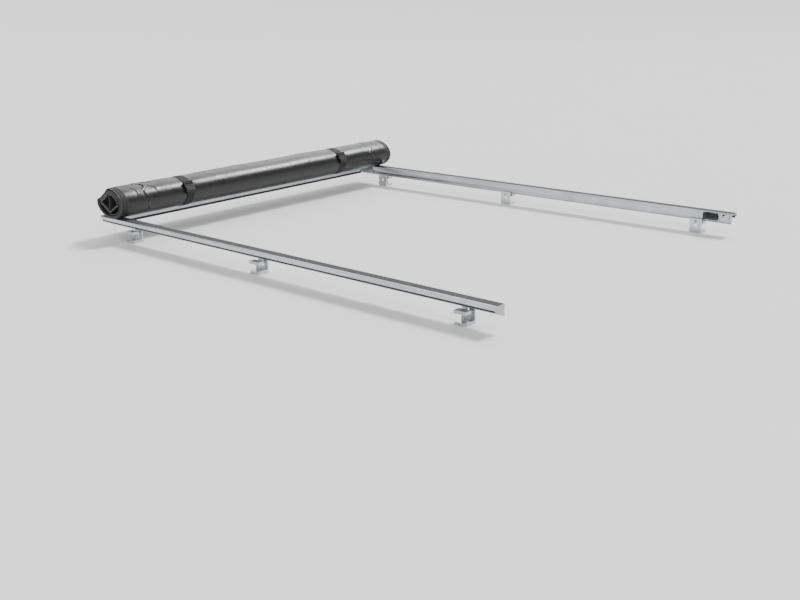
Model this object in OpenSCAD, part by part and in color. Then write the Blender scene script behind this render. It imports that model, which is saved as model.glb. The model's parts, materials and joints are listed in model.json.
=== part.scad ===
// Soft roll-up tonneau cover for a full-size pickup, rolled forward and strapped at the cab end.
// +Y points to the cab, +X to the passenger side, +Z up. The clamps stand on z = 0.

/* [Bed] */
// Length of each side rail, from the cab end to the tail end
rail_len = 1980; // [1960:1:2000]
// Clear width between the two side rails
rail_gap = 1448; // [1380:1:1500]

/* [Rails] */
// Width across the top of a rail
rail_w = 46; // [42:1:50]
// Height of the inner face of a rail
rail_h = 38; // [36:1:42]
// Thickness of the rail's top plate
rail_top_t = 3; // [2.6:0.1:4]
// Height of the rail's outer face, above the bed cap
outer_face_h = 14; // [12:1:18]
// Width of the hook tape in the top of each rail
tape_w = 34; // [30:1:38]

/* [Clamps] */
// How far forward of the middle the front clamps are
clamp_front = 820; // [760:1:840]
// How far forward of the middle the middle clamps are
clamp_middle = 70; // [-50:1:100]
// How far behind the middle the rear clamps are
clamp_rear = 850; // [800:1:852]
// Width of a clamp along the rail
clamp_w = 50; // [40:1:60]
// Height from the foot of a clamp to the underside of the rail
clamp_drop = 50; // [50:1:60]
// How far a jaw opens
jaw_travel = 18; // [10:1:20]
// Thread diameter of the clamp bolts
bolt_d = 8; // [6:1:8]

/* [Cover] */
// Thickness of the coated vinyl
vinyl_t = 1.2; // [1:0.1:1.3]
// How far the cover laps past each rail
overlap = 5; // [0:1:10]
// Width of a bow
bow_w = 34; // [28:1:36]
// Thickness of a bow
bow_t = 5; // [4:0.5:5]

/* [Roll] */
// Mean radius of the outer turn of the roll
roll_r = 73; // [72:0.5:73.5]
// Free space between two layers
layer_gap = 2.2; // [2:0.1:2.4]
// Distance from the cab end of the rails to the middle of the roll
roll_back = 80; // [70:1:90]

/* [Straps] */
// Distance of each strap from the middle of the cover
strap_x = 445; // [350:1:500]
// Width of the webbing
web_w = 38; // [25:1:50]

/* [Hidden] */
$fn = 48;
eps = 0.01;

aluminium = [0.80, 0.81, 0.82];
bright = [0.88, 0.88, 0.88];
black_vinyl = [0.07, 0.07, 0.075];
black_plastic = [0.05, 0.05, 0.05];
rubber = [0.10, 0.10, 0.10];
webbing = [0.09, 0.09, 0.10];
steel = [0.62, 0.63, 0.65];

// Rails
rail_x = rail_gap / 2;              // inner face of a rail
rail_z = clamp_drop;                // underside of a rail's leg
top_z = rail_z + rail_h;            // top of the rails
leg_t = 5;                          // thickness of the inner leg before it is hollowed
lip_t = 3;                          // ledge along the foot of the leg, which the clamps pull on
lip_w = 6.5;
edge_r = 1.5;
tape_t = 1.4;
cove_h = 28;                        // height of the shallow cove in the inner face
cove_d = 2.2;
cove_r = (cove_h * cove_h / 4 + cove_d * cove_d) / (2 * cove_d);

// Clamps: each on one side (+1 or -1) and at one place along the rail
clamp_at = [
    [-1, clamp_front], [-1, clamp_middle], [-1, -clamp_rear],
    [1, clamp_front], [1, clamp_middle], [1, -clamp_rear]
];
plate_x = rail_x - lip_w - 6.5;     // inboard face of a clamp
plate_t = 5;
arm_t = 10;
arm_len = 49;
bolt_x = rail_x + 18;
jaw_t = 10;
jaw_z = rail_z - 6 - jaw_t;         // underside of a jaw when it grips
head_t = 5.3;
head_af = 13;
head_z = 2;

// Cover
cover_w = rail_gap + 2 * rail_w + 2 * overlap;
seat = 0.5;                         // running space between the cover and the rails
flat_z = top_z + seat + vinyl_t;    // the upper face of the closed cover
joint_gap = 0.2;
panels = 25;
rear_panels = 4;                    // short panels up the rear of the outer turn, 45 degrees each
outer_panels = 6;                   // the whole outer turn; from there on each panel is 90 degrees
oval_y = 1.18;
oval_z = 0.82;
core_len = 56;                      // the last panel, which crosses the core of the roll
bow_at = [4, 8, 13, 18];            // the panels that carry a bow, counted from 0
bow_gap = 0.8;
bow_len = rail_gap - 8;
roll_c = [rail_len / 2 - roll_back, flat_z + roll_r * oval_z];

// Corner k of the roll, as [y, z]. The roll winds from the bottom up the rear, over the top
// and down the front, and each corner lies on a ray from the middle.
function ray(k) = -90 - 45 * min(k, rear_panels) - 90 * max(k - rear_panels, 0);
function by_bow(k) = len([for (b = bow_at) if (b == k || b == k - 1) 1]) > 0;
function drop(k) = (vinyl_t + (by_bow(k) ? bow_t + bow_gap : layer_gap)) / cos(45);
function outer_r(k) = k < outer_panels + 4 ? roll_r : corner_r(k - 4);
function corner_r(k) = k < outer_panels ? roll_r : outer_r(k) - drop(k);
function ray_corner(k) = roll_c + corner_r(k) * [oval_y * cos(ray(k)), oval_z * sin(ray(k))];
function core_end() =
    let (p = ray_corner(panels - 1), d = roll_c - p) p + d * core_len / norm(d);
function corner(k) = k < panels ? ray_corner(k) : core_end();
function heading(k) = let (d = corner(k + 1) - corner(k)) atan2(d[1], d[0]);
function panel_len(k) = norm(corner(k + 1) - corner(k));
function reach(k) = k == 0 ? 0 : reach(k - 1) + panel_len(k - 1);

// Rear bar and latches
bar_l = 40;                         // along the cover
bar_h = 18;
bar_back = 1;                       // from the cover's edge to the bar
bar_len = rail_gap - 7.4;
bar_wall = 2.2;
bar_block = 90;                     // length of the guide block in each end
pin_d = 10;
pin_len = 84;
pin_throw = 14;
pin_in = 2;                         // how far the pin's tip sits inside the bar at rest
latch_y = corner(0)[0] - reach(panels) + bar_back + bar_l / 2;
latch_z = flat_z - vinyl_t - bar_h / 2;

// Header
header_w = 44;
header_h = 24;
header_y = rail_len / 2 - 1;        // front face
rail_holes = [-6, 6];               // heights of the bracket's screws, from its middle
header_holes = [-1, 7];
screw_hole_d = 4.2;

// Buckles
buckle_w = 46;
buckle_t = 11;
web_t = 1.5;
socket_len = 27;
plug_len = 20;
prong_len = 16;
buckle_at = 2;                      // the panel that carries the buckles, counted from 0

// ---------- helpers ----------

// A bar along X, of a 2D section drawn in Y and Z
module along_x(len) rotate([90, 0, 90]) linear_extrude(len, center = true) children();

// A bar along Y, of a 2D section drawn in X and Z
module along_y(len) rotate([90, 0, 0]) linear_extrude(len, center = true) children();

// The passenger side as drawn (+1), or its mirror image on the driver's side (-1)
module side(s) if (s > 0) children(); else mirror([1, 0, 0]) children();

// A plate with rounded corners in the XY plane
module round_rect(l, w, r) {
    square([l - 2 * r, w], center = true);
    square([l, w - 2 * r], center = true);
    for (i = [-1, 1], j = [-1, 1]) translate([i * (l / 2 - r), j * (w / 2 - r)]) circle(r);
}

// The frame of panel k: it runs from y = 0 to y = -length, with its upper face on z = 0
module on_panel(k)
    translate([0, corner(k)[0], corner(k)[1]]) rotate([heading(k) - 180, 0, 0]) children();

// ---------- rails ----------

module rail_section() difference() {
    union() {
        // leg
        translate([0, 0]) square([leg_t, rail_h - edge_r]);
        // top plate
        translate([edge_r, rail_h - rail_top_t - 1.6]) square([rail_w - 2 * edge_r, rail_top_t + 1.6]);
        translate([0, rail_h - rail_top_t - 1.6]) square([rail_w, rail_top_t + 1.6 - edge_r]);
        translate([edge_r, rail_h - edge_r]) circle(edge_r);
        translate([rail_w - edge_r, rail_h - edge_r]) circle(edge_r);
        // outer face
        translate([rail_w - 2.6, rail_h - outer_face_h]) square([2.6, outer_face_h - edge_r]);
        // ledge
        translate([-lip_w, 0]) square([lip_w + 1, lip_t]);
    }
    // recess for the hook tape
    translate([(rail_w - tape_w) / 2, rail_h - 1.6]) square([tape_w, 3]);
    // cove in the inner face
    translate([cove_d - cove_r, rail_h / 2 + 1]) circle(cove_r, $fn = 180);
    // groove that takes the seal
    translate([rail_w - 1.9, rail_h - outer_face_h - 1]) square([1.2, 3]);
}

module rail(s) side(s) difference() {
    translate([rail_x, 0, rail_z]) along_y(rail_len) rail_section();
    // hole that the latch pin enters
    translate([rail_x, latch_y, latch_z]) rotate([0, 90, 0]) cylinder(h = 30, d = pin_d + 1.5, center = true);
    // screw holes of the corner bracket
    for (dz = rail_holes)
        translate([rail_x, header_y - header_w - 30, bracket_z() + dz])
            rotate([0, 90, 0]) cylinder(h = 30, d = screw_hole_d, center = true);
}

function bracket_z() = rail_z + rail_h / 2 + 1;

module rail_left() color(aluminium) rail(-1);
module rail_right() color(aluminium) rail(1);

module hook_strips() color(black_plastic) {
    for (s = [-1, 1]) side(s)
        translate([rail_x + rail_w / 2, 0, top_z - 1.6 + tape_t / 2])
            cube([tape_w - 0.6, rail_len - 4, tape_t], center = true);
    translate([0, header_y - header_w / 2, top_z + seat / 2])
        cube([rail_gap - 20, header_w - 14, seat], center = true);
}

// A seal with a flat back and a round bulb, drawn hanging below the origin
module bulb_section(w, d) {
    translate([-w / 2, -2]) square([w, 2]);
    difference() {
        translate([0, -1 - d / 2]) circle(d = d);
        translate([0, -1 - d / 2]) circle(d = d - 3);
    }
}

module seals() color(rubber) {
    for (s = [-1, 1]) side(s)
        translate([rail_x + rail_w - 3.6, 0, top_z - outer_face_h])
            along_y(rail_len - 10) bulb_section(5.2, 6);
    translate([0, header_y - header_w / 2, top_z - header_h])
        along_x(rail_gap - 30) bulb_section(20, 14);
}

// Ramp that guides the rear bar down between the rails
module tail_catches() color(black_plastic) for (s = [-1, 1]) side(s) difference() {
    translate([0, -905.5 + 990 - rail_len / 2, 0]) along_y(57) polygon([
        [rail_x - 0.2, rail_z + 8.5], [rail_x - 14, rail_z + 8.5], [rail_x - 21, rail_z + 14],
        [rail_x - 21, rail_z + 18], [rail_x - 6, rail_z + rail_h - 3], [rail_x - 0.2, rail_z + rail_h - 3]
    ]);
    translate([rail_x - 24, catch_mid() + 16, rail_z + 10]) cube([12, 30, 30]);
    for (dy = [-16, 4])
        translate([rail_x - 9, catch_mid() + dy, 0]) cylinder(h = 200, d = 4.5);
}

function catch_mid() = 84.5 - rail_len / 2;

module striker_plates() color(bright) for (s = [-1, 1]) side(s) difference() {
    translate([rail_x - 1.2, latch_y, rail_z + rail_h / 2 + 4])
        cube([2, 44, 26], center = true);
    translate([rail_x, latch_y, latch_z]) rotate([0, 90, 0])
        cylinder(h = 20, d = pin_d + 1.5, center = true);
}

// ---------- header ----------

module header_section() difference() {
    union() {
        translate([-header_w, -header_h]) square([header_w, header_h]);
    }
    translate([-header_w + 2.5, -header_h + 2.5]) square([16, header_h - 5]);
    translate([-header_w + 21, -header_h + 2.5]) square([20.5, header_h - 5]);
    translate([-header_w / 2 - 3, -header_h - 1]) square([6, 2]);
}

module header_rail() color(aluminium) difference() {
    translate([0, header_y, top_z]) along_x(rail_gap - 2) header_section();
    for (s = [-1, 1], dz = header_holes) side(s)
        translate([rail_x - 28, header_y - header_w, bracket_z() + dz])
            rotate([90, 0, 0]) cylinder(h = 12, d = screw_hole_d, center = true);
}

module corner_brackets() color(steel) for (s = [-1, 1]) side(s) difference() {
    union() {
        translate([rail_x - 3.4, header_y - header_w - 42, bracket_z() - 11]) cube([3, 42, 22]);
        translate([rail_x - 40, header_y - header_w - 3, bracket_z() - 11]) cube([38, 3, 22]);
    }
    for (dz = rail_holes)
        translate([rail_x, header_y - header_w - 30, bracket_z() + dz])
            rotate([0, 90, 0]) cylinder(h = 20, d = screw_hole_d, center = true);
    for (dz = header_holes)
        translate([rail_x - 28, header_y - header_w, bracket_z() + dz])
            rotate([90, 0, 0]) cylinder(h = 20, d = screw_hole_d, center = true);
}

// ---------- clamps ----------

module clamp_body() difference() {
    union() {
        // inboard plate, arm under the jaw and hook over the rail's ledge
        translate([plate_x, -clamp_w / 2, 0]) cube([plate_t, clamp_w, rail_z + lip_t + 4.2]);
        translate([plate_x, -clamp_w / 2, 0]) cube([arm_len, clamp_w, arm_t]);
        translate([plate_x, -clamp_w / 2, rail_z + lip_t + 0.2])
            cube([plate_t + lip_w + 1, clamp_w, 4]);
        // foot rib
        translate([plate_x + plate_t, -clamp_w / 2, arm_t]) cube([4, clamp_w, 3]);
    }
    // keyhole window in the plate
    translate([plate_x - 1, 0, rail_z - 20]) rotate([0, 90, 0]) cylinder(h = plate_t + 2, d = 13);
    translate([plate_x - 1, -3.5, rail_z - 20]) cube([plate_t + 2, 7, 20]);
    // bolt hole and the recess for its head
    translate([bolt_x, 0, -1]) cylinder(h = arm_t + 2, d = bolt_d + 0.4);
    translate([bolt_x, 0, -1]) cylinder(h = 1 + head_z + head_t + 0.2, d = 17);
    // rounded ends of the arm
    for (s = [-1, 1]) translate([plate_x + arm_len, s * clamp_w / 2, -1]) rotate([0, 0, 45])
        cube([12, 12, 60], center = true);
}

module clamp_bodies() color(bright)
    for (c = clamp_at) side(c[0]) translate([0, c[1], 0]) clamp_body();

module hex_bolt(len) {
    cylinder(h = head_t, d = head_af / cos(30), $fn = 6);
    cylinder(h = head_t + len, d = bolt_d);
}

// Pan-head screw, head on +Z
module screw(len) {
    cylinder(h = 2.2, d = 7.6);
    translate([0, 0, -len]) cylinder(h = len + 1, d = 4);
}

module fasteners() color(steel) {
    for (c = clamp_at) side(c[0])
        translate([bolt_x, c[1], head_z]) hex_bolt(jaw_z + jaw_t - 1 - head_z - head_t);
    for (s = [-1, 1]) side(s) {
        for (dz = rail_holes)
            translate([rail_x - 3.4, header_y - header_w - 30, bracket_z() + dz])
                rotate([0, -90, 0]) screw(9);
        for (dz = header_holes)
            translate([rail_x - 28, header_y - header_w - 3, bracket_z() + dz])
                rotate([90, 0, 0]) screw(8);
    }
}

module clamp_jaw(n) color(aluminium)
    side(clamp_at[n][0]) translate([0, clamp_at[n][1], jaw_z]) difference() {
        union() {
            translate([rail_x + leg_t + 0.5, -clamp_w / 2 + 2, 0]) cube([27, clamp_w - 4, jaw_t]);
            // tail that slides against the clamp's plate
            translate([plate_x + plate_t + 0.3, -9, 0]) cube([22, 18, jaw_t - 3]);
            // ridges that bite under the bed flange
            for (i = [0:3]) translate([rail_x + leg_t + 4 + 6 * i, 0, jaw_t])
                cube([2, clamp_w - 8, 1.6], center = true);
        }
        translate([bolt_x, 0, -1]) cylinder(h = jaw_t + 4, d = bolt_d + 0.1);
    }

// ---------- cover ----------

module cover_front() color(black_vinyl)
    translate([-cover_w / 2, corner(0)[0] + joint_gap, flat_z - vinyl_t])
        cube([cover_w, header_y + 1 - corner(0)[0] - joint_gap, vinyl_t]);

module cover_panel(k) color(black_vinyl) on_panel(k)
    translate([-cover_w / 2, joint_gap - panel_len(k), -vinyl_t])
        cube([cover_w, panel_len(k) - 2 * joint_gap, vinyl_t]);

// A flat extruded bow with rounded long edges, under the middle of its panel
module bow(n) let (k = bow_at[n]) color(aluminium) on_panel(k)
    translate([0, -panel_len(k) / 2, -vinyl_t - bow_t / 2]) along_x(bow_len) difference() {
        round_rect(bow_w, bow_t, 2);
        for (y = [-9, 0, 9]) translate([y, 0]) square([7, bow_t - 2.6], center = true);
    }

// ---------- rear bar ----------

module bar_section(solid) translate([-core_len + bar_back + bar_l / 2, -vinyl_t - bar_h / 2])
    difference() {
        round_rect(bar_l, bar_h, 3);
        if (!solid) for (s = [-1, 1]) translate([s * (bar_l / 4 - bar_wall / 4), 0])
            square([bar_l / 2 - 1.5 * bar_wall, bar_h - 2 * bar_wall], center = true);
    }

module at_pin(s) on_panel(panels - 1)
    translate([s * bar_len / 2, -core_len + bar_back + bar_l / 2, -vinyl_t - bar_h / 2]) side(s) children();

module rear_bar() color(aluminium) difference() {
    on_panel(panels - 1) {
        along_x(bar_len - 2 * bar_block) bar_section(false);
        for (s = [-1, 1]) translate([s * (bar_len - bar_block) / 2, 0, 0])
            along_x(bar_block + eps) bar_section(true);
    }
    for (s = [-1, 1]) {
        // bore of the pin and the slot of its thumb tab
        at_pin(s) rotate([0, 90, 0]) cylinder(h = 2 * (bar_block - 2), d = pin_d + 0.1, center = true);
        at_pin(s) translate([-52, -4, -bar_h]) cube([30, 8, bar_h]);
    }
}

module rear_bar_seal() color(rubber) on_panel(panels - 1)
    along_x(bar_len - 40) translate([-core_len - 2.2 + bar_back, -vinyl_t - 6]) {
        square([2.2, 6]);
        translate([0, 0.5]) circle(d = 4.4);
    }

module latch(s) color(steel) at_pin(s) {
    translate([-pin_len - pin_in, 0, 0]) rotate([0, 90, 0]) cylinder(h = pin_len, d = pin_d);
    translate([-50, -3.6, -bar_h / 2 + 0.6]) cube([12, 7.2, bar_h / 2 - 2]);
}

module latch_left() latch(-1);
module latch_right() latch(1);

// ---------- straps ----------

// The webbing lies on the vinyl, and over the bow where it crosses one
function web_lift(k) = len([for (b = bow_at) if (b == k) 1]) > 0 ? bow_t + joint_gap : 0;

module strap_web(k) color(webbing) on_panel(k) for (s = [-1, 1])
    translate([s * strap_x - web_w / 2, joint_gap - panel_len(k), -vinyl_t - web_lift(k) - web_t])
        cube([web_w, panel_len(k) - 2 * joint_gap, web_t]);

module on_buckle(s) on_panel(buckle_at)
    translate([s * strap_x, 0, -vinyl_t - web_t - buckle_t / 2]) children();

module buckle_sockets() color(black_plastic) for (s = [-1, 1]) on_buckle(s) difference() {
    translate([0, -1 - socket_len / 2, 0]) intersection() {
        cube([buckle_w, socket_len, buckle_t], center = true);
        translate([0, 2, 0]) rotate([0, 90, 0]) cylinder(h = buckle_w, r = socket_len * 0.62, center = true, $fn = 96);
    }
    // mouth for the plug and the side windows of its catches
    translate([0, -1 - socket_len, 0]) cube([buckle_w - 12, 2 * (prong_len + 3), buckle_t - 4.4], center = true);
    for (i = [-1, 1]) translate([i * buckle_w / 2, -socket_len / 2 - 4, 0])
        cube([14, 13, buckle_t - 4.4], center = true);
    // slot for the webbing
    translate([0, -5, 0]) cube([web_w + 2, 3, buckle_t + 2], center = true);
}

module buckle_plug(s) color(black_plastic) on_buckle(s) difference() {
    union() {
        translate([0, -2 - socket_len - plug_len / 2 + 0.4, 0])
            cube([buckle_w - 2, plug_len - 0.8, buckle_t - 2], center = true);
        translate([0, -2 - socket_len + prong_len / 2 - 1, 0])
            cube([9, prong_len + 2, buckle_t - 5.2], center = true);
        for (i = [-1, 1]) translate([i * (buckle_w / 2 - 9.6), -2 - socket_len + prong_len / 2 - 1, 0])
            cube([5.6, prong_len + 2, buckle_t - 5.2], center = true);
    }
    translate([0, -2 - socket_len - 7, 0]) cube([web_w + 1, 3, buckle_t], center = true);
    translate([0, -2 - socket_len - 14.5, 0]) cube([web_w + 1, 4, buckle_t], center = true);
}

module buckle_plug_left() buckle_plug(-1);
module buckle_plug_right() buckle_plug(1);

// ---------- nodes ----------

rail_left();
rail_right();
hook_strips();
seals();
tail_catches();
striker_plates();
header_rail();
corner_brackets();
clamp_bodies();
fasteners();
clamp_jaw(0);  // clamp_jaw_1
clamp_jaw(1);  // clamp_jaw_2
clamp_jaw(2);  // clamp_jaw_3
clamp_jaw(3);  // clamp_jaw_4
clamp_jaw(4);  // clamp_jaw_5
clamp_jaw(5);  // clamp_jaw_6
cover_front();
cover_panel(0);  // cover_panel_01
cover_panel(1);  // cover_panel_02
cover_panel(2);  // cover_panel_03
cover_panel(3);  // cover_panel_04
cover_panel(4);  // cover_panel_05
cover_panel(5);  // cover_panel_06
cover_panel(6);  // cover_panel_07
cover_panel(7);  // cover_panel_08
cover_panel(8);  // cover_panel_09
cover_panel(9);  // cover_panel_10
cover_panel(10);  // cover_panel_11
cover_panel(11);  // cover_panel_12
cover_panel(12);  // cover_panel_13
cover_panel(13);  // cover_panel_14
cover_panel(14);  // cover_panel_15
cover_panel(15);  // cover_panel_16
cover_panel(16);  // cover_panel_17
cover_panel(17);  // cover_panel_18
cover_panel(18);  // cover_panel_19
cover_panel(19);  // cover_panel_20
cover_panel(20);  // cover_panel_21
cover_panel(21);  // cover_panel_22
cover_panel(22);  // cover_panel_23
cover_panel(23);  // cover_panel_24
cover_panel(24);  // cover_panel_25
bow(0);  // bow_1
bow(1);  // bow_2
bow(2);  // bow_3
bow(3);  // bow_4
rear_bar();
rear_bar_seal();
latch_left();
latch_right();
strap_web(0);  // strap_web_1
strap_web(1);  // strap_web_2
strap_web(2);  // strap_web_3
strap_web(3);  // strap_web_4
strap_web(4);  // strap_web_5
buckle_sockets();
buckle_plug_left();
buckle_plug_right();
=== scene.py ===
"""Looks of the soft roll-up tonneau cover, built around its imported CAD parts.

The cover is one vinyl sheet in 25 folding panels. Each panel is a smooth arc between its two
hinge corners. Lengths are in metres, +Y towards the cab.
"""

import json
import math
import random

import bpy
import numpy as np
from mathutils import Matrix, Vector


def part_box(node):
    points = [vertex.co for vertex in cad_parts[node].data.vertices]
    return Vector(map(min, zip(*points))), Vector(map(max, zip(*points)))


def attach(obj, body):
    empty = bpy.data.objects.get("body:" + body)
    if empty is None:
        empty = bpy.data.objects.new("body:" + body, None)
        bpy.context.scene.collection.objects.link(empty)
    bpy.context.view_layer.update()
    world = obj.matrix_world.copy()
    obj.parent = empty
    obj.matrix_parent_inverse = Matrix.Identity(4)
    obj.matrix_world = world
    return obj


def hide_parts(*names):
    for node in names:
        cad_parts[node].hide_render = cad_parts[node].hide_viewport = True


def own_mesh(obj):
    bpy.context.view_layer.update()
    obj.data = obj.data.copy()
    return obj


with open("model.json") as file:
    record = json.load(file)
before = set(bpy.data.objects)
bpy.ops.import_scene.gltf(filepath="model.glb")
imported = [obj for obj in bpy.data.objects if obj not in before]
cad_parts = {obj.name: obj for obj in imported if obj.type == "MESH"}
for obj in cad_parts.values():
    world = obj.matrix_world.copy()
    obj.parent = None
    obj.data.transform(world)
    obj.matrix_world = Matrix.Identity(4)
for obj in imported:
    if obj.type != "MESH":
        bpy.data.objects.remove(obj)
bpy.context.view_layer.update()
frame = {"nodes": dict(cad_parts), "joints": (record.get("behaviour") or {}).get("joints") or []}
rng = random.Random(7)

# ---------------------------------------------------------------- camera

CAM_AT = (-3.026, -2.685, 0.973)
CAM_YAW, CAM_DOWN, CAM_ROLL = (math.radians(a) for a in (-47.65, 17.0, -1.28))
FOCAL_PX, IMAGE_W, SENSOR_MM = 1047.7, 800, 36


def add_camera():
    """The camera at the photograph's viewing angle."""
    cy, sy = math.cos(CAM_YAW), math.sin(CAM_YAW)
    cd, sd = math.cos(CAM_DOWN), math.sin(CAM_DOWN)
    back = Vector((sy * cd, -cy * cd, sd))
    right = Vector((cy, sy, 0))
    up = back.cross(right)
    cr, sr = math.cos(CAM_ROLL), math.sin(CAM_ROLL)
    cols = (cr * right + sr * up, -sr * right + cr * up, back)
    data = bpy.data.cameras.new("camera")
    data.sensor_width = SENSOR_MM
    data.lens = FOCAL_PX / IMAGE_W * SENSOR_MM
    cam = bpy.data.objects.new("camera", data)
    bpy.context.scene.collection.objects.link(cam)
    m = cam.matrix_world
    for c, col in enumerate(cols):
        for r in range(3):
            m[r][c] = col[r]
    for r in range(3):
        m[r][3] = CAM_AT[r]
    cam.matrix_world = m
    bpy.context.scene.camera = cam


add_camera()

# ---------------------------------------------------------------- materials

NOISE_LOW, NOISE_HIGH = 0.3, 0.7
# Where the finish changes, as distances from the cover's middle line. On the hem, the fold, the middle line
# and the inner edge are also painted lighter, as painted highlights
VINYL_END = (0.655, 0.672)
HEM_EDGE, HEM_MIDDLE, HEM_FOLD = (0.7484, 0.7472), 0.7603, (0.7728, 0.7740)
HEM_MIDDLE_HALF = (0.0006, 0.0013)
TWILL_DEG = 38
DRAWN = 0.006  # how far draw lines are stretched along a metal profile


class Nodes:
    """A material's node tree, with short calls for the nodes used here."""

    def __init__(self, name):
        self.mat = bpy.data.materials.new(name)
        self.mat.use_nodes = True
        self.tree = self.mat.node_tree
        self.shader = self.tree.nodes["Principled BSDF"]
        self.coord = self.tree.nodes.new("ShaderNodeTexCoord")

    def new(self, kind, **inputs):
        node = self.tree.nodes.new(kind)
        for key, value in inputs.items():
            node.inputs[key.replace("_", " ")].default_value = value
        return node

    def link(self, a, b):
        self.tree.links.new(a, b)

    def place(self, scale=(1, 1, 1), turn=(0, 0, 0), uv=False):
        """Object or UV coordinates in metres, scaled and turned."""
        node = self.new("ShaderNodeMapping", Scale=scale, Rotation=turn)
        self.link(self.coord.outputs["UV" if uv else "Object"], node.inputs["Vector"])
        return node.outputs["Vector"]

    def noise(self, scale, detail=3, rough=0.55, at=None, distort=0.0):
        node = self.new("ShaderNodeTexNoise", Scale=scale, Detail=detail, Roughness=rough, Distortion=distort)
        self.link(at or self.coord.outputs["Object"], node.inputs["Vector"])
        return node.outputs["Fac"]

    def cells(self, scale, at=None):
        node = self.new("ShaderNodeTexVoronoi", Scale=scale)
        self.link(at or self.coord.outputs["Object"], node.inputs["Vector"])
        return node.outputs["Distance"]

    def wave(self, scale, direction, at, distort=0.0):
        node = self.new("ShaderNodeTexWave", Scale=scale, Distortion=distort)
        node.bands_direction = direction
        self.link(at, node.inputs["Vector"])
        return node.outputs["Fac"]

    def span(self, value, low, high, to_low, to_high):
        """The value, with low to high mapped to to_low to to_high and held there outside them."""
        node = self.new("ShaderNodeMapRange", From_Min=low, From_Max=high, To_Min=to_low, To_Max=to_high)
        self.link(value, node.inputs["Value"])
        return node.outputs["Result"]

    def spread(self, noise, to_low, to_high):
        """A noise's usual range mapped to to_low to to_high."""
        return self.span(noise, NOISE_LOW, NOISE_HIGH, to_low, to_high)

    def side_distance(self):
        """The distance from the cover's middle line."""
        x = self.new("ShaderNodeSeparateXYZ")
        self.link(self.coord.outputs["Object"], x.inputs["Vector"])
        return self.math("ABSOLUTE", x.outputs["X"])

    def math(self, operation, a, b=None):
        node = self.new("ShaderNodeMath")
        node.operation = operation
        for i, v in enumerate((a, b)):
            if v is None:
                continue
            if isinstance(v, (int, float)):
                node.inputs[i].default_value = v
            else:
                self.link(v, node.inputs[i])
        return node.outputs[0]

    def blend(self, share, one, two):
        """A colour from one to two by share."""
        node = self.new("ShaderNodeMix")
        node.data_type = "RGBA"
        self.link(share, node.inputs["Factor"])
        for key, v in ((6, one), (7, two)):
            if isinstance(v, tuple):
                node.inputs[key].default_value = (*v, 1)
            else:
                self.link(v, node.inputs[key])
        return node.outputs[2]

    def bump(self, height, strength, distance, after=None):
        """A normal for the height, on top of the normal after."""
        node = self.new("ShaderNodeBump", Strength=strength, Distance=distance)
        self.link(height, node.inputs["Height"])
        if after is not None:
            self.link(after, node.inputs["Normal"])
        return node.outputs["Normal"]

    def finish(self, colour, rough, normal, **uniform):
        """The material, with its uniform values on the shader's own sockets."""
        for key, v in (("Base Color", colour), ("Roughness", rough), ("Normal", normal)):
            self.link(v, self.shader.inputs[key])
        for key, v in uniform.items():
            self.shader.inputs[key.replace("_", " ")].default_value = v
        return self.mat


def vinyl():
    """Grained vinyl with dull streaks and dust, rougher past the end seams."""
    n = Nodes("black_vinyl")
    clean, dusty = (0.0050, 0.0051, 0.0055), (0.0125, 0.0126, 0.0132)
    ends = n.span(n.side_distance(), *VINYL_END, 0.0, 1.0)
    broad, mid = n.noise(2.6, 4, 0.6), n.noise(21, 5, 0.6, distort=0.4)
    streaks = n.noise(7, 5, 0.62, n.place((9, 1.2, 1.2)), 0.6)
    grain, fine = n.cells(620), n.noise(1500, 2)
    dust = n.math("MULTIPLY", n.span(mid, 0.45, 0.75, 0, 1), n.span(broad, 0.4, 0.7, 0.1, 1))
    colour = n.blend(dust, clean, dusty)
    rough = n.spread(streaks, 0.27, 0.38)
    rough = n.math("ADD", rough, n.math("MULTIPLY", dust, 0.07))
    rough = n.math("ADD", rough, n.math("MULTIPLY", ends, 0.05))
    rough = n.math("ADD", rough, n.spread(fine, -0.03, 0.03))
    normal = n.bump(n.noise(30, 4, 0.6), 0.16, 0.0022)
    normal = n.bump(grain, 0.30, 0.00022, normal)
    normal = n.bump(fine, 0.18, 0.0001, normal)
    return n.finish(colour, rough, normal, Specular_IOR_Level=0.5)


def binding():
    """Matt loop tape on the hem in two bands, and the glossy fold at the very edge. The fold, the hem's middle
    line and its inner edge are glossier and also painted lighter, as painted highlights.
    """
    n = Nodes("edge_binding_cloth")
    # the third colour is a painted highlight, lighter than the cloth, for the glossy lines
    dark, light, highlight_black = (0.006, 0.006, 0.007), (0.020, 0.020, 0.021), (0.030, 0.030, 0.031)
    uv = n.place(uv=True)
    out = n.side_distance()
    fold = n.span(out, *HEM_FOLD, 0.0, 1.0)
    off_middle = n.math("ABSOLUTE", n.math("SUBTRACT", out, HEM_MIDDLE))
    mid = n.span(off_middle, *HEM_MIDDLE_HALF, 1.0, 0.0)
    edge = n.span(out, *HEM_EDGE, 0.0, 1.0)
    # where the hem is glossier and also painted lighter as a painted highlight
    gloss_and_highlight = n.math("MAXIMUM", n.math("MAXIMUM", fold, mid), edge)
    weave = n.math("MAXIMUM", n.wave(330, "X", uv), n.wave(330, "Y", uv))
    fuzz, broad = n.noise(900, 3, 0.7), n.noise(14, 4, 0.6)
    cloth = n.blend(n.spread(fuzz, 0, 1), dark, light)
    # painted highlight: the fold, the middle line and the inner edge are painted lighter than the cloth
    colour = n.blend(gloss_and_highlight, cloth, highlight_black)
    rough = n.math("SUBTRACT", n.spread(broad, 0.66, 0.84), n.math("MULTIPLY", gloss_and_highlight, 0.42))
    rib = n.math("SUBTRACT", 1.0, gloss_and_highlight)
    normal = n.bump(n.math("MULTIPLY", weave, rib), 0.35, 0.00025)
    normal = n.bump(n.math("MULTIPLY", fuzz, rib), 0.5, 0.0003, normal)
    return n.finish(colour, rough, normal)


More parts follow.
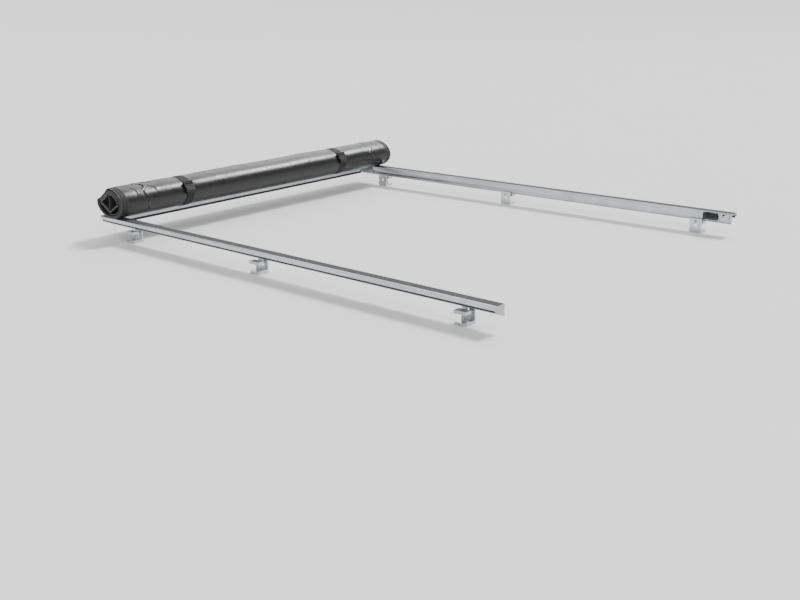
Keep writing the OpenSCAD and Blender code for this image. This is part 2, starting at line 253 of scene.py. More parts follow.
def webbing():
    """Woven tape: ribs along it crossed by a slanted twill, with a fuzzy, worn face."""
    n = Nodes("webbing")
    dark, light, worn = (0.006, 0.006, 0.007), (0.022, 0.022, 0.024), (0.030, 0.030, 0.032)
    slant = n.place(turn=(0, 0, math.radians(TWILL_DEG)), uv=True)
    ribs = n.wave(230, "X", n.place(uv=True))
    twill = n.wave(150, "Y", slant, distort=0.6)
    weave = n.math("MULTIPLY", ribs, twill)
    broad, fuzz = n.noise(30, 4, 0.6), n.noise(1300, 3, 0.7)
    colour = n.blend(weave, dark, light)
    colour = n.blend(n.span(broad, 0.45, 0.8, 0, 0.35), colour, worn)
    rough = n.spread(fuzz, 0.55, 0.75)
    normal = n.bump(weave, 0.7, 0.0005)
    normal = n.bump(fuzz, 0.3, 0.00015, normal)
    return n.finish(colour, rough, normal, Sheen_Weight=0.03, Specular_IOR_Level=0.3)


def thread():
    """Twisted sewing thread."""
    n = Nodes("thread")
    dark, light = (0.020, 0.020, 0.021), (0.06, 0.06, 0.063)
    twist = n.wave(900, "DIAGONAL", n.place())
    rough = n.spread(n.noise(400), 0.5, 0.7)
    return n.finish(n.blend(twist, dark, light), rough, n.bump(twist, 0.5, 0.0002))


def metal(name, dark, light, rough_low, rough_high, lines, pits=0.0, along="Y", tint_scale=6):
    """Metal with fine draw lines along an axis, cloudy tone and small scratches."""
    n = Nodes(name)
    squeeze = {"Y": (1, DRAWN, 1), "X": (DRAWN, 1, 1), "": (1, 1, 1)}[along]
    draw = n.noise(lines, 4, 0.7, n.place(squeeze))
    cloud = n.noise(tint_scale, 5, 0.62, distort=0.5)
    marks = n.noise(60, 6, 0.75, n.place((1, 0.12, 1), (0.2, 0.1, 0.6)), 1.2)
    wear = n.span(marks, 0.62, 0.75, 0, 1)
    tone = n.math("ADD", n.math("MULTIPLY", draw, 0.45), n.math("MULTIPLY", cloud, 0.55))
    colour = n.blend(n.spread(tone, 0, 1), dark, light)
    rough = n.math("ADD", n.spread(draw, rough_low, rough_high), n.math("MULTIPLY", wear, 0.1))
    normal = n.bump(draw, 0.22, 0.00012)
    normal = n.bump(n.noise(1100, 3, 0.7), 0.05 + pits, 0.0001 + 0.0002 * pits, normal)
    return n.finish(colour, rough, normal, Metallic=1.0)


def moulded(name, dark, light, rough_low, rough_high, texture, depth):
    """Moulded plastic or rubber with a fine spark-eroded texture and scuffs."""
    n = Nodes(name)
    fine, broad = n.noise(texture, 3, 0.65), n.noise(30, 5, 0.65, distort=0.4)
    marks = n.noise(95, 6, 0.8, n.place((1, 0.2, 1), (0.3, 0.2, 0.8)), 1.0)
    scuff = n.span(marks, 0.6, 0.72, 0, 1)
    colour = n.blend(n.math("MULTIPLY", broad, 0.9), dark, light)
    colour = n.blend(n.math("MULTIPLY", scuff, 0.25), colour, tuple(min(1, 3 * c) for c in light))
    rough = n.spread(broad, rough_low, rough_high)
    return n.finish(colour, rough, n.bump(fine, 0.35, depth))


def hook_tape():
    """Rows of small hooks, dusty in places."""
    n = Nodes("hook_tape")
    dark, light, dusty = (0.008, 0.008, 0.009), (0.046, 0.046, 0.048), (0.055, 0.054, 0.052)
    hooks = n.cells(720, n.place((1, 1, 0.25)))
    rows = n.wave(260, "X", n.place())
    broad, fuzz = n.noise(11, 5, 0.65), n.noise(900, 4, 0.8)
    tips = n.math("MULTIPLY", n.span(hooks, 0, 0.8, 0, 1), 0.5)
    share = n.math("ADD", tips, n.math("MULTIPLY", fuzz, 0.5))
    colour = n.blend(n.span(broad, 0.5, 0.8, 0, 0.4), n.blend(share, dark, light), dusty)
    normal = n.bump(hooks, 0.9, 0.0009)
    normal = n.bump(rows, 0.4, 0.0005, normal)
    return n.finish(colour, n.spread(fuzz, 0.75, 0.95), normal, Sheen_Weight=0.12)


MATS = {
    "rail_aluminium": metal(
        "rail_aluminium", (0.36, 0.37, 0.39), (0.66, 0.67, 0.69), 0.22, 0.36, 900),
    "bar_aluminium": metal(
        "bar_aluminium", (0.33, 0.34, 0.36), (0.58, 0.59, 0.61), 0.28, 0.42, 800, along="X"),
    "bright_aluminium": metal(
        "bright_aluminium", (0.42, 0.43, 0.45), (0.68, 0.69, 0.70), 0.20, 0.36, 500, pits=0.12),
    "zinc_steel": metal(
        "zinc_steel", (0.24, 0.25, 0.26), (0.46, 0.47, 0.47), 0.26, 0.40, 300, pits=0.2, along="",
        tint_scale=45),
    "hook_tape": hook_tape(),
    "seal_rubber": moulded(
        "seal_rubber", (0.012, 0.012, 0.012), (0.03, 0.03, 0.03), 0.62, 0.8, 700, 0.0003),
    "black_plastic": moulded(
        "black_plastic", (0.010, 0.010, 0.011), (0.024, 0.024, 0.026), 0.36, 0.5, 1300, 0.0002),
    "black_vinyl": vinyl(),
    "webbing": webbing(),
}
BINDING, THREAD = binding(), thread()

# ---------------------------------------------------------------- CAD nodes kept

NODE_FINISH = {
    "rail_left": "rail_aluminium", "rail_right": "rail_aluminium", "header_rail": "bar_aluminium",
    "hook_strips": "hook_tape", "seals": "seal_rubber", "tail_catches": "black_plastic",
    "striker_plates": "bright_aluminium", "corner_brackets": "zinc_steel",
    "clamp_bodies": "bright_aluminium", "fasteners": "zinc_steel", "rear_bar": "bar_aluminium",
    "rear_bar_seal": "seal_rubber", "latch_left": "zinc_steel", "latch_right": "zinc_steel",
    **{f"clamp_jaw_{i}": "rail_aluminium" for i in range(1, 7)},
    **{f"bow_{i}": "bar_aluminium" for i in range(1, 5)},
}
WELD_WITHIN = 1e-5
EDGE_ROUND = {
    "clamp_bodies": 0.0009, "tail_catches": 0.0008, "corner_brackets": 0.0004,
    "striker_plates": 0.0004, "fasteners": 0.0004, "latch_left": 0.0005, "latch_right": 0.0005,
    **{f"clamp_jaw_{i}": 0.0006 for i in range(1, 7)},
}


def round_edges(o, width, segments, angle_deg):
    """Rounds the edges sharper than an angle and keeps the flat faces flat."""
    bevel = o.modifiers.new("round", "BEVEL")
    bevel.width, bevel.segments = width, segments
    bevel.limit_method, bevel.angle_limit = "ANGLE", math.radians(angle_deg)
    o.modifiers.new("flat_faces", "WEIGHTED_NORMAL").weight = 60


def soften_edges(o, width):
    """Welds the CAD mesh and rounds its sharp edges, by modifiers only."""
    o.modifiers.new("weld", "WELD").merge_threshold = WELD_WITHIN
    o.data.polygons.foreach_set("use_smooth", [True] * len(o.data.polygons))
    round_edges(o, width, 2, 40)


for node, finish in NODE_FINISH.items():
    o = frame["nodes"][node]
    o.data.materials.clear()
    o.data.materials.append(MATS[finish])
    if node in EDGE_ROUND:
        soften_edges(o, EDGE_ROUND[node])

# ---------------------------------------------------------------- the roll's shape

VINYL_T = 0.0012
COVER_HALF = 0.775  # half the cover's width
HEM_IN = 0.747  # the hem's inner edge
STRAP_X, WEB_W = 0.445, 0.038
SEAM_X = 0.664  # the puckered seam near each end
OVAL = (1.18, 0.82)  # the roll's outline, across and up
CORE_LEN, BAR_BEND = 0.056, 0.014  # the last panel, and where its flat part on the rear bar begins
OUTER = 6  # panels in the loose outer turn, which has waves and creases
FLAT_POINTS = 5
LAP = 0.0007  # how far each panel laps the next at a fold
BOW_PANELS = {4: "bow_1", 8: "bow_2", 13: "bow_3", 18: "bow_4"}
BOW_FLAT, BOW_HALF, BOW_T = 0.0195, 0.7205, 0.0050
POCKET_HALF, POCKET_T = 0.7228, 0.0007
BUCKLE_PANEL = 2
DENT = 1.9  # millimetres that a buckle presses into the roll

hinges = [j for j in frame["joints"] if j["name"] == "cover_unroll" or j["name"].startswith("cover_bend")]
corners = [np.array(j["pos_m"][1:3]) for j in hinges]
PANELS = len(corners)
centre = np.array([corners[0][0], corners[2][1]])
down = (centre - corners[-1]) / np.linalg.norm(centre - corners[-1])
corners.append(corners[-1] + down * CORE_LEN)


def ray(k):
    """The direction of corner k from the roll's middle: eighths of a turn at first, then quarters."""
    return math.radians(-90 - 45 * min(k, 4) - 90 * max(k - 4, 0))


def tangent(k):
    """The way the cover runs at corner k, along the roll's oval."""
    if k == PANELS:
        return down
    t = np.array([OVAL[0] * math.sin(ray(k)), -OVAL[1] * math.cos(ray(k))])
    return t / np.linalg.norm(t)


def bezier(p, q, t, u, count):
    """Points of a smooth arc from p along t to q along u, shaped like a piece of an oval."""
    turn = math.acos(max(-1, min(1, float(t @ u))))
    chord = np.linalg.norm(q - p)
    cross = t[0] * u[1] - t[1] * u[0]
    a = b = chord / 3
    if abs(cross) > 0.05:
        k = 4 / 3 * math.tan(turn / 4) / math.tan(turn / 2)
        d = q - p
        a = k * (d[0] * u[1] - d[1] * u[0]) / cross
        b = k * (t[0] * d[1] - t[1] * d[0]) / cross
        if not (0.05 * chord < a < chord and 0.05 * chord < b < chord):
            a = b = 0.38 * chord
    s = np.linspace(0, 1, count + 1)[:, None]
    return (1 - s) ** 3 * p + 3 * (1 - s) ** 2 * s * (p + a * t) + 3 * (1 - s) * s**2 * (q - b * u) + s**3 * q


def panel_line(k, count):
    """The inner face of panel k as points in Y and Z.
    It is flat where the rear bar lies, and on a bow or inside one, so that no turn crosses another."""
    p, q = corners[k], corners[k + 1]
    along = (q - p) / np.linalg.norm(q - p)
    outside = [b for b in BOW_PANELS if b <= k and (k - b) % 4 == 0]
    if outside and k < PANELS - 1:
        mid, b = (p + q) / 2, outside[-1]
        flat = BOW_FLAT + (np.linalg.norm(q - p) - np.linalg.norm(corners[b + 1] - corners[b])) / 2
        f, g = mid - along * flat, mid + along * flat
        return np.concatenate([
            bezier(p, f, tangent(k), along, count // 2), np.linspace(f, g, FLAT_POINTS)[1:],
            bezier(g, q, along, tangent(k + 1), count // 2)[1:]])
    if k == PANELS - 1:
        f = p + along * BAR_BEND
        return np.concatenate([
            bezier(p, f, tangent(k), along, count // 2), np.linspace(f, q, FLAT_POINTS)[1:]])
    return bezier(p, q, tangent(k), tangent(k + 1), count)


def with_normals(line, t_first, t_last):
    """Tangents, outward normals and lengths along a line of points."""
    step = np.gradient(line, axis=0)
    step[0], step[-1] = t_first, t_last
    t = step / np.linalg.norm(step, axis=1)[:, None]
    n = np.stack([-t[:, 1], t[:, 0]], axis=1)
    s = np.concatenate([[0], np.cumsum(np.linalg.norm(np.diff(line, axis=0), axis=1))])
    return t, n, s


def segments(k):
    """Steps along panel k: fine where waves and creases need them."""
    if k < 4:
        return 16
    return 26 if k < OUTER else 12


LINES = []
reach = 0.0
for k in range(PANELS):
    line = panel_line(k, segments(k))
    t, n, s = with_normals(line, tangent(k), tangent(k + 1))
    LINES.append({"line": line, "t": t, "n": n, "s": s, "from": reach})
    reach += s[-1]

# Waves for the loose outer turn: (way along X, way along the turn, phase, size)
WAVES = [(rng.uniform(6, 34), rng.uniform(-26, 26), rng.uniform(0, 6.3), rng.uniform(0.25, 1))
         for _ in range(14)]

# Creases near the ends and between the straps, each (x, s, half length, width, size in mm, lean, bend)
CREASES = [
    (0.640, 0.205, 0.050, 0.0050, 2.3, 0.16, 3.0), (0.655, 0.150, 0.034, 0.0042, 1.9, -0.30, -4.0),
    (0.622, 0.235, 0.040, 0.0045, 1.7, 0.34, -3.0), (0.668, 0.225, 0.030, 0.0040, 1.4, -0.20, 5.0),
    (0.604, 0.180, 0.026, 0.0050, 1.1, 0.50, 2.0), (0.690, 0.180, 0.045, 0.0050, 1.1, 0.30, 2.0),
    (0.648, 0.095, 0.040, 0.0045, 1.5, 0.22, -2.5), (0.630, 0.290, 0.045, 0.0050, 1.5, -0.18, 3.0),
    (0.300, 0.190, 0.028, 0.0050, 1.2, 0.90, 4.0), (0.240, 0.150, 0.022, 0.0050, 0.9, -1.10, 2.0),
    (0.120, 0.215, 0.030, 0.0060, 0.8, 1.30, 1.0), (0.360, 0.130, 0.024, 0.0050, 0.9, 0.60, -3.0),
    (0.510, 0.170, 0.030, 0.0055, 1.0, -0.80, 2.0), (0.560, 0.215, 0.026, 0.0050, 0.9, 0.70, 3.0),
]


# The outer turn's height in mm, the strap's and buckle's half widths with their soft edges, the end seam's
# width and depth, where the ends taper from and over what length, and where the turn's height comes and goes
HEIGHT, HEIGHT_WAVE = 1.7, 1.2
STRAP_HOLD, STRAP_SOFT = 0.02, 0.05
BUCKLE_HOLD, BUCKLE_SOFT = 0.022, 0.014
PUCKER_W, PUCKER = 0.0038, 0.75
TAPER_FROM, TAPER_LEN = 0.70, 0.075
RISE_FROM, RISE_LEN, FALL_TO, FALL_LEN = 0.01, 0.05, 0.44, 0.10


def near(distance, hold, soft):
    """1 within hold of a place, fading to 0 over about soft."""
    return np.exp(-((np.maximum(0, distance - hold) / soft) ** 2))


def crease_height(a, s, side):
    """The creases at a distance a from the middle line, different on the two sides."""
    folds = 0.0
    for x0, s0, half, width, size, lean, bend in CREASES:
        ds = s - s0 - 0.012 * side
        line = x0 + 0.006 * side + ds * lean * (1 - 2 * side) + bend * ds * ds * 6 + 0.004 * np.sin(ds * 90)
        u = (a - line) / width
        ridge_and_dip = np.exp(-(u**2)) - 0.55 * np.exp(-((u - 1.7) ** 2))
        folds = folds + size * ridge_and_dip * np.exp(-((ds / half) ** 4))
    return folds


def puff(x, s):
    """How far the outer turn stands out at x, s along it: full between the straps, pinched at seams."""
    a = np.abs(x)
    side = np.where(x < 0, 0.0, 1.0)
    from_strap = np.abs(a - STRAP_X)
    seam_at = SEAM_X + 0.003 * np.sin(s * 21 + 2 * side)
    pucker = np.exp(-(((a - seam_at) / PUCKER_W) ** 2)) * (0.6 + 0.4 * np.sin(s * 47 + side))
    end = 1 - np.clip((a - TAPER_FROM) / TAPER_LEN, 0, 1) ** 2
    wave = sum(w * np.sin(fx * x + fs * s + ph) for fx, fs, ph, w in WAVES) / 4
    turn = np.clip((s - RISE_FROM) / RISE_LEN, 0, 1) * np.clip((FALL_TO - s) / FALL_LEN, 0, 1)
    loose = turn * (1 - near(from_strap, STRAP_HOLD, STRAP_SOFT))
    height = (1 - PUCKER * pucker) * end * (HEIGHT + HEIGHT_WAVE * wave) + crease_height(a, s, side)
    on_buckle = np.clip((s - LINES[BUCKLE_PANEL]["from"]) / LINES[BUCKLE_PANEL]["s"][-1], 0, 1)
    press = near(from_strap, BUCKLE_HOLD, BUCKLE_SOFT) * np.sin(math.pi * on_buckle)
    return 0.001 * (loose * height - DENT * press)


STITCH, THREAD_W = 0.0036, 0.0009
THREAD_PROUD = 1.13  # a stitch's thickness as a share of its cloth's


def stand_out(k, x, s, offset=None):
    """How far the surface of panel k stands out from its line at x, s."""
    d = puff(x, LINES[k]["from"] + s) if k is not None and k < OUTER else 0.0 * x
    return d if offset is None else d + offset(x, s)


def point_on(k, x, s, offset=None, part=None):
    """The point at x, s on panel k's surface."""
    part = part or LINES[k]
    at = [float(np.interp(s, part["s"], part[c][:, i])) for c in ("line", "n") for i in (0, 1)]
    d = float(stand_out(k, np.array(x, float), s, offset))
    return (x, at[0] + at[2] * d, at[1] + at[3] * d)


def grid(name, xs, k, offset=None, part=None, dashes=()):
    """A mesh of panel k's surface over the strips xs, a list of arrays of x, with UVs in metres.
    part is another line to follow, with no puff if k is None. offset(x, s) adds to the height.
    dashes are stitches, each (x, s, way along x, way along s), made as small leaves of slot 1."""
    part = part or LINES[k]
    line, t, n, s = part["line"], part["t"], part["n"], part["s"]
    line = line.copy()
    if k is not None:
        line[0] -= t[0] * LAP
        line[-1] += t[-1] * LAP
    verts, faces, uvs = [], [], []
    for x in xs:
        first = len(verts)
        for i in range(len(line)):
            d = stand_out(k, x, s[i], offset)
            for j, xx in enumerate(x):
                y, z = line[i] + n[i] * d[j]
                verts.append((xx, y, z))
                uvs.append((xx, part["from"] + s[i]))
        w = len(x)
        for i in range(len(line) - 1):
            for j in range(w - 1):
                v = first + i * w + j
                faces.append((v, v + 1, v + w + 1, v + w))
    cloth_verts, cloth_faces = len(verts), len(faces)
    for x, at, dx, ds in dashes:
        size = math.hypot(dx, ds)
        ax, as_ = dx / size * STITCH / 2, ds / size * STITCH / 2
        bx, bs = -ds / size * THREAD_W / 2, dx / size * THREAD_W / 2
        v = len(verts)
        for p, q in ((-1, -1), (1, -1), (1, 1), (-1, 1)):
            xx, ss = x + p * ax + q * bx, at + p * as_ + q * bs
            verts.append(point_on(k, xx, ss, offset, part))
            uvs.append((xx, part["from"] + ss))
        faces.append((v, v + 1, v + 2, v + 3))
    o = mesh_piece(name, verts, faces, uvs)
    if dashes:
        o.data.polygons.foreach_set("material_index", [0] * cloth_faces + [1] * len(dashes))
        group = o.vertex_groups.new(name="proud")
        group.add(list(range(cloth_verts)), 1 / THREAD_PROUD, "REPLACE")
        group.add(list(range(cloth_verts, len(verts))), 1.0, "REPLACE")
    return o


def seam(points, pitch=0.0052):
    """Stitches along a line of (x, s) points."""
    made, left = [], pitch / 2
    for (x0, s0), (x1, s1) in zip(points, points[1:]):
        length = math.hypot(x1 - x0, s1 - s0)
        while left < length:
            u = left / length
            made.append((x0 + u * (x1 - x0), s0 + u * (s1 - s0), x1 - x0, s1 - s0))
            left += pitch
        left -= length
    return made


def mesh_piece(name, verts, faces, uvs=None):
    """A smooth-shaded mesh object in the scene."""
    me = bpy.data.meshes.new(name)
    me.from_pydata([tuple(map(float, v)) for v in verts], [], faces)
    if uvs is not None:
        layer = me.uv_layers.new(name="cut")
        for loop in me.loops:
            layer.data[loop.index].uv = uvs[loop.vertex_index]
    me.polygons.foreach_set("use_smooth", [True] * len(me.polygons))
    me.update()
    o = bpy.data.objects.new(name, me)
    bpy.context.scene.collection.objects.link(o)
    return o


RIM_DEG = 50  # a sheet's rim is sharper than this, and its own curves and creases aren't


def thicken(o, inner, outer, rounding=0.0):
    """Gives a surface a thickness from inner to outer, measured outwards from it."""
    solid = o.modifiers.new("thickness", "SOLIDIFY")
    solid.thickness = outer - inner
    if "proud" in o.vertex_groups:
        solid.thickness *= THREAD_PROUD
        solid.vertex_group = "proud"
    solid.offset = (outer + inner) / (outer - inner)
    solid.use_even_offset = False
    if rounding:
        round_edges(o, rounding, 2, RIM_DEG)
    else:
        o.modifiers.new("crisp_rim", "EDGE_SPLIT").split_angle = math.radians(RIM_DEG)


def flatten(o):
    """Gives the piece its own copy of its mesh."""
    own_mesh(o)


def panel_body(k):
    return f"panel_{k + 1:02d}"


def strip(low, high, step):
    """Even steps of about step from low to high."""
    return np.linspace(low, high, max(2, round((high - low) / step) + 1))


# ---------------------------------------------------------------- the cover's panels

HEM_OUT = COVER_HALF + 0.0014
HEM_ROWS = (0.7494, 0.7716)
HEM_HEIGHTS, HEM_ROUND = (-0.0009, 0.00145), 0.0003


def both_sides(half_x):
    """The distances half_x, which begin at 0, on both sides of the middle line."""
    return np.concatenate([-half_x[:0:-1], half_x])


# Finest where the creases near the ends are
FINE_X = both_sides(np.concatenate(
    [strip(0.0, 0.59, 0.008)[:-1], strip(0.59, 0.715, 0.0026)[:-1], strip(0.715, COVER_HALF, 0.01)]))


def hem(name, k, part, length, body):
    """The folded binding along both side edges, with two rows of stitches on each."""
    strips = [strip(-HEM_OUT, -HEM_IN, 0.0074), strip(HEM_IN, HEM_OUT, 0.0074)]
    rows = [seam([(side * x, 0), (side * x, length)]) for side in (-1, 1) for x in HEM_ROWS]
    o = grid(name, strips, k, part=part, dashes=sum(rows, []))
    o.data.materials.append(BINDING)
    o.data.materials.append(THREAD)
    thicken(o, *HEM_HEIGHTS, HEM_ROUND)
    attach(o, body)
    return o


for k in range(PANELS):
    length = float(LINES[k]["s"][-1])
    o = grid(f"vinyl_{k + 1:02d}", [FINE_X if k < OUTER else strip(-COVER_HALF, COVER_HALF, 0.05)], k)
    o.data.materials.append(MATS["black_vinyl"])
    thicken(o, 0, VINYL_T)
    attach(o, panel_body(k))
    flatten(o)
    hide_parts(f"cover_panel_{k + 1:02d}")
    flatten(hem(f"hem_{k + 1:02d}", k, None, length, panel_body(k)))

# The strip on the header, a flat line from the cab end to the first fold
front_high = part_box("cover_front")[1]
front_len = front_high.y - corners[0][0]
FRONT_POINTS = 9
front_s = np.linspace(0, front_len, FRONT_POINTS)
FRONT = {
    "line": np.stack([front_high.y - front_s, np.full(FRONT_POINTS, front_high.z)], axis=1),
    "t": np.tile([-1.0, 0.0], (FRONT_POINTS, 1)), "n": np.tile([0.0, -1.0], (FRONT_POINTS, 1)),
    "s": front_s, "from": -front_len,
}
o = grid("vinyl_front", [strip(-COVER_HALF, COVER_HALF, 0.02)], None, part=FRONT)
o.data.materials.append(MATS["black_vinyl"])
thicken(o, 0, VINYL_T)
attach(o, "base")
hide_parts("cover_front")
hem("hem_front", None, FRONT, front_len, "base")

# ---------------------------------------------------------------- bow pockets and straps


def smooth(u):
    u = np.clip(u, 0, 1)
    return u * u * (3 - 2 * u)


def hump(k, height, flat, foot):
    """An offset that rises to height over the bow of panel k, flat in its middle."""
    mid = LINES[k]["s"][-1] / 2
    return lambda x, s: height * smooth((foot - abs(s - mid)) / (foot - flat))


def sub_part(k, low, high, count=24):
    """The stretch of panel k's line from low to high along it."""
    part, s = LINES[k], np.linspace(low, high, count + 1)
    line, t, n = (np.stack([np.interp(s, part["s"], part[c][:, i]) for i in (0, 1)], axis=1)
                  for c in ("line", "t", "n"))
    return {"line": line, "t": t, "n": n, "s": s - low, "from": part["from"] + low}


POCKET_FOOT, POCKET_FLAT, POCKET_HEM = 0.030, 0.0185, 0.006
POCKET_PITCH, POCKET_ROW, ROW_END = 0.0065, 0.0025, 0.003  # stitches, their rows' place and ends
POCKET_X = both_sides(np.concatenate(
    [strip(0.0, BOW_HALF, 0.02)[:-1], strip(BOW_HALF, POCKET_HALF, 0.0006)]))


def pocket_height(mid):
    """How far a pocket stands out over its bow, closed down to the cover past the bow's ends."""
    def over(x, s):
        across = smooth((POCKET_FOOT - abs(s - mid)) / (POCKET_FOOT - POCKET_FLAT))
        return BOW_T * across * smooth((POCKET_HALF - np.abs(x)) / (POCKET_HALF - BOW_HALF))
    return over


for k, bow in BOW_PANELS.items():
    mid = LINES[k]["s"][-1] / 2
    part = sub_part(k, mid - POCKET_FOOT - POCKET_HEM, mid + POCKET_FOOT + POCKET_HEM)
    width = float(part["s"][-1])
    row_end = POCKET_HALF - ROW_END
    rows = [seam([(-row_end, s), (row_end, s)], POCKET_PITCH) for s in (POCKET_ROW, width - POCKET_ROW)]
    o = grid(f"pocket_{bow}", [POCKET_X], None, pocket_height(width / 2), part, sum(rows, []))
    o.data.materials.append(MATS["black_vinyl"])
    o.data.materials.append(THREAD)
    thicken(o, VINYL_T, VINYL_T + POCKET_T)
    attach(o, panel_body(k))

STRAPS = (-STRAP_X, STRAP_X)
STRAP_PANELS = 5
STRAP_HEIGHTS, STRAP_ROUND = (VINYL_T - 0.0002, VINYL_T + 0.0016), 0.0004
STRAP_OVER, STRAP_FLAT, STRAP_FOOT = BOW_T + POCKET_T + 0.0002, 0.021, 0.044
BOX_HALF, BOX_NEAR, BOX_FAR = 0.015, 0.004, 0.034  # the sewn box at a strap's end


def box_stitches(mid, s0, s1):
    """A sewn box with a cross in it."""
    a, b = mid - BOX_HALF, mid + BOX_HALF
    around = [(a, s0), (b, s0), (b, s1), (a, s1), (a, s0), (b, s1)]
    return seam(around) + seam([(b, s0), (a, s1)])


for k in range(STRAP_PANELS):
    length = float(LINES[k]["s"][-1])
    over = hump(k, STRAP_OVER, STRAP_FLAT, STRAP_FOOT) if k in BOW_PANELS else None
    ends = []
    for mid in STRAPS:
        if k == 0:
            ends += box_stitches(mid, BOX_NEAR, BOX_FAR)
        if k == STRAP_PANELS - 1:
            ends += box_stitches(mid, length - BOX_FAR, length - BOX_NEAR)
    strips = [strip(mid - WEB_W / 2, mid + WEB_W / 2, 0.0095) for mid in STRAPS]
    o = grid(f"strap_{k + 1}", strips, k, over, dashes=ends)
    o.data.materials.append(MATS["webbing"])
    o.data.materials.append(THREAD)
    thicken(o, *STRAP_HEIGHTS, STRAP_ROUND)
    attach(o, panel_body(k))
    if k not in BOW_PANELS:
        flatten(o)
    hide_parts(f"strap_web_{k + 1}")

# ---------------------------------------------------------------- buckles

# Outlines across the strap and along it, with the heights between which each is solid, in millimetres
PLATE = [(-20, 7.5), (20, 7.5), (23, 10), (19.5, 12), (18.6, 15), (19.5, 19), (23, 21.5), (23, 26.6),
         (20.5, 28.6), (8.5, 28.6), (6, 26.4), (-6, 26.4), (-8.5, 28.6), (-20.5, 28.6), (-23, 26.6),
         (-23, 21.5), (-19.5, 19), (-18.6, 15), (-19.5, 12), (-23, 10)]


def box_outline(x0, x1, s0, s1):
    return [(x0, s0), (x1, s0), (x1, s1), (x0, s1)]


def mirrored(outline):
    return [(-x, s) for x, s in reversed(outline)]


LINK, POST = box_outline(19.8, 23, 1, 10), box_outline(19.4, 23, 21.5, 28)
ARM = [(10.5, 30.5), (15.6, 30.5), (16.6, 23), (21.6, 19.8), (22.6, 15.6), (20.6, 12.2), (17.4, 11.6),
       (15, 13.2), (13.2, 22)]
SOCKET = [
    (PLATE, 12.4, 15.0), (PLATE, 6.0, 8.2), (LINK, 6.4, 14.6), (mirrored(LINK), 6.4, 14.6),
    (box_outline(-23, 23, 0.8, 3.8), 7.0, 13.6), (box_outline(-20, 20, 7.2, 9.4), 6.2, 14.8),
    (POST, 8.0, 12.6), (mirrored(POST), 8.0, 12.6),
    *[(box_outline(-8, 8, s, s + 1.1), 14.8, 15.5) for s in (12.0, 14.4, 16.8, 19.2)],
]
RAIL = [(19.6, 33), (22.6, 33), (22.2, 49.4), (19.6, 49.4)]
PLUG = [
    ([(-22, 29.4), (22, 29.4), (22.6, 33.6), (-22.6, 33.6)], 6.6, 14.4),
    (RAIL, 7.4, 13.4), (mirrored(RAIL), 7.4, 13.4), (box_outline(-20, 20, 38, 41), 8.0, 12.4),
    ([(-22.2, 46.6), (22.2, 46.6), (21, 49.8), (-21, 49.8)], 7.6, 13.6),
    ([(-3.6, 13.5), (3.6, 13.5), (4.6, 30), (-4.6, 30)], 8.8, 11.8),
    (ARM, 8.9, 11.7), (mirrored(ARM), 8.9, 11.7),
]
PLUG_LOOP = [(50.2, 3.3), (47.5, 5.4), (45.0, 7.4), (43.8, 10), (42.4, 12.8), (39.5, 13.8), (37.0, 12.8),
             (36.2, 10), (36.8, 7.5), (39.5, 6.3), (44, 5.2), (49.5, 4.5)]
SOCKET_LOOP = [(-1.2, 3.3), (-1.4, 6.8), (-1.0, 11), (0.3, 14.0), (2.4, 15.0), (4.6, 14.0), (5.6, 11),
               (5.4, 8), (3.8, 5.8), (1.2, 4.6), (-0.8, 4.6)]
BUCKLE_LIFT = 0.9  # millimetres that the curve of the roll lifts the buckle
BUCKLE_ROUND = 0.0006
LOOP_HALF_T, LOOP_ROUND = 0.0007, 0.0003
LOOP_STEPS, LOOP_SMOOTHING = 4, 3  # points for each of the path's, and passes that round its corners

p, q = corners[BUCKLE_PANEL], corners[BUCKLE_PANEL + 1]
buckle_along = (q - p) / np.linalg.norm(q - p)
buckle_out = np.array([-buckle_along[1], buckle_along[0]])


def at_buckle(mid, x, s, h):
    """The point at x across the strap at mid, s along it and h above it, in millimetres."""
    y, z = p + buckle_along * s / 1000 + buckle_out * (h + BUCKLE_LIFT) / 1000
    return (mid + x / 1000, y, z)


def prisms(name, mid, parts):
    """A moulded piece of flat slabs with rounded edges."""
    verts, faces = [], []
    for outline, h0, h1 in parts:
        v, n = len(verts), len(outline)
        verts += [at_buckle(mid, x, s, h) for h in (h0, h1) for x, s in outline]
        faces += [tuple(range(v + n - 1, v - 1, -1)), tuple(range(v + n, v + 2 * n))]
        faces += [(v + i, v + (i + 1) % n, v + n + (i + 1) % n, v + n + i) for i in range(n)]
    o = mesh_piece(name, verts, faces)
    round_edges(o, BUCKLE_ROUND, 3, 25)
    o.data.materials.append(MATS["black_plastic"])
    return o


def loop(name, mid, path):
    """Webbing round a bar of the buckle."""
    pts = np.array(path, float)
    u = np.arange(len(pts))
    fine = np.linspace(0, len(pts) - 1, LOOP_STEPS * len(pts))
    s, h = (np.interp(fine, u, pts[:, i]) for i in (0, 1))
    for _ in range(LOOP_SMOOTHING):
        s[1:-1], h[1:-1] = (s[:-2] + 2 * s[1:-1] + s[2:]) / 4, (h[:-2] + 2 * h[1:-1] + h[2:]) / 4
    run = np.concatenate([[0], np.cumsum(np.hypot(np.diff(s), np.diff(h)))]) / 1000
    across = np.linspace(-WEB_W / 2, WEB_W / 2, 5) * 1000
    verts = [at_buckle(mid, x, s[i], h[i]) for i in range(len(s)) for x in across]
    uvs = [(mid + x / 1000, run[i]) for i in range(len(s)) for x in across]
    w = len(across)
    faces = [(i * w + j, i * w + j + 1, i * w + w + j + 1, i * w + w + j)
             for i in range(len(s) - 1) for j in range(w - 1)]
    o = mesh_piece(name, verts, faces, uvs)
    thicken(o, -LOOP_HALF_T, LOOP_HALF_T, LOOP_ROUND)
    o.data.materials.append(MATS["webbing"])
    return o


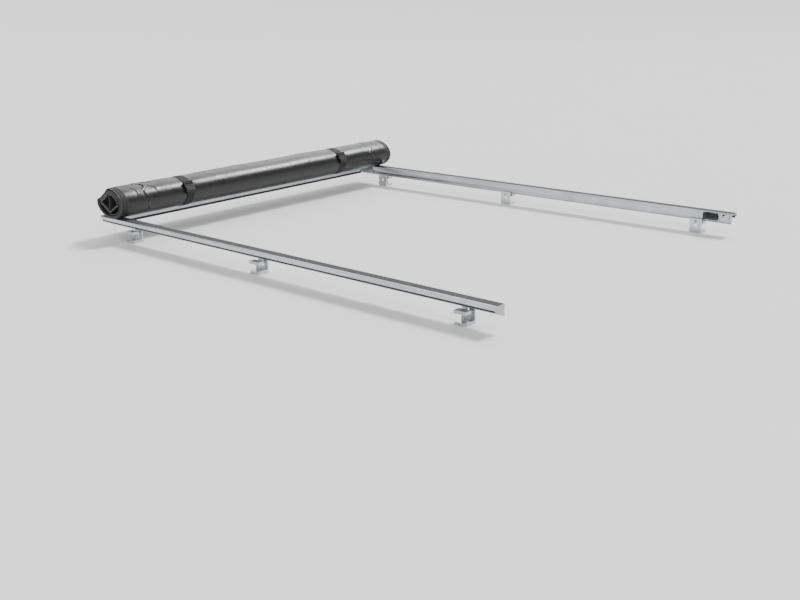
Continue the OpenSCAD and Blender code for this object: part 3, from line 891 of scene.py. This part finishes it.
for mid, side in zip(STRAPS, ("left", "right")):
    socket = prisms(f"buckle_socket_{side}", mid, SOCKET)
    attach(socket, panel_body(BUCKLE_PANEL))
    if side == "left":
        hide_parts("buckle_sockets")
    plug = prisms(f"buckle_tongue_{side}", mid, PLUG)
    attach(plug, f"buckle_plug_{side}")
    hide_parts(f"buckle_plug_{side}")
    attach(loop(f"loop_socket_{side}", mid, SOCKET_LOOP), panel_body(BUCKLE_PANEL))
    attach(loop(f"loop_tongue_{side}", mid, PLUG_LOOP), f"buckle_plug_{side}")

# ---------------------------------------------------------------- light, floor

FLOOR_R, BOWL_R, BOWL_H, BOWL_POWER, BOWL_RINGS, SPOKES = 11.0, 19.0, 5.0, 2.2, 20, 96
rings = [(r, 0.0) for r in (2.0, 5.0, 8.0, FLOOR_R)]
rings += [(FLOOR_R + (BOWL_R - FLOOR_R) * u, BOWL_H * u**BOWL_POWER) for u in np.linspace(0.05, 1, BOWL_RINGS)]
spokes = [(math.cos(2 * math.pi * i / SPOKES), math.sin(2 * math.pi * i / SPOKES)) for i in range(SPOKES)]
verts = [(0, 0, 0)] + [(r * c, r * s, z) for r, z in rings for c, s in spokes]
faces = [(0, 1 + i, 1 + (i + 1) % SPOKES) for i in range(SPOKES)]
for ring in range(len(rings) - 1):
    v = 1 + ring * SPOKES
    faces += [(v + i, v + SPOKES + i, v + SPOKES + (i + 1) % SPOKES, v + (i + 1) % SPOKES)
              for i in range(SPOKES)]
floor = mesh_piece("floor", verts, faces)


def floor_paint():
    """Pale, even studio floor."""
    n = Nodes("floor_paint")
    colour = n.blend(n.noise(1.2, 3), (0.86, 0.86, 0.86), (0.89, 0.89, 0.885))
    return n.finish(colour, n.spread(n.noise(5, 3), 0.75, 0.85), n.bump(n.noise(300, 2), 0.05, 0.0003))


floor.data.materials.append(floor_paint())


def soft_sun(name, source, spread, power):
    """Even soft light from the direction source, as wide as spread degrees."""
    data = bpy.data.lights.new(name, "SUN")
    data.energy, data.angle = power, math.radians(spread)
    o = bpy.data.objects.new(name, data)
    o.rotation_mode = "QUATERNION"
    o.rotation_quaternion = (-Vector(source)).to_track_quat("-Z", "Y")
    bpy.context.scene.collection.objects.link(o)


soft_sun("band", (0.63, -0.06, 0.77), 15, 3.4)  # gives the bright band along the roll
soft_sun("key", (-0.55, -0.60, 0.75), 60, 1.3)
soft_sun("cab", (0.63, 0.50, 0.56), 38, 1.0)  # gives the sheen on the roll's top
WORLD_COLOUR, WORLD_STRENGTH = (0.98, 0.99, 1.0, 1), 0.46
world = bpy.data.worlds.new("world")
world.use_nodes = True
background = world.node_tree.nodes["Background"]
background.inputs["Color"].default_value = WORLD_COLOUR
background.inputs["Strength"].default_value = WORLD_STRENGTH
bpy.context.scene.world = world
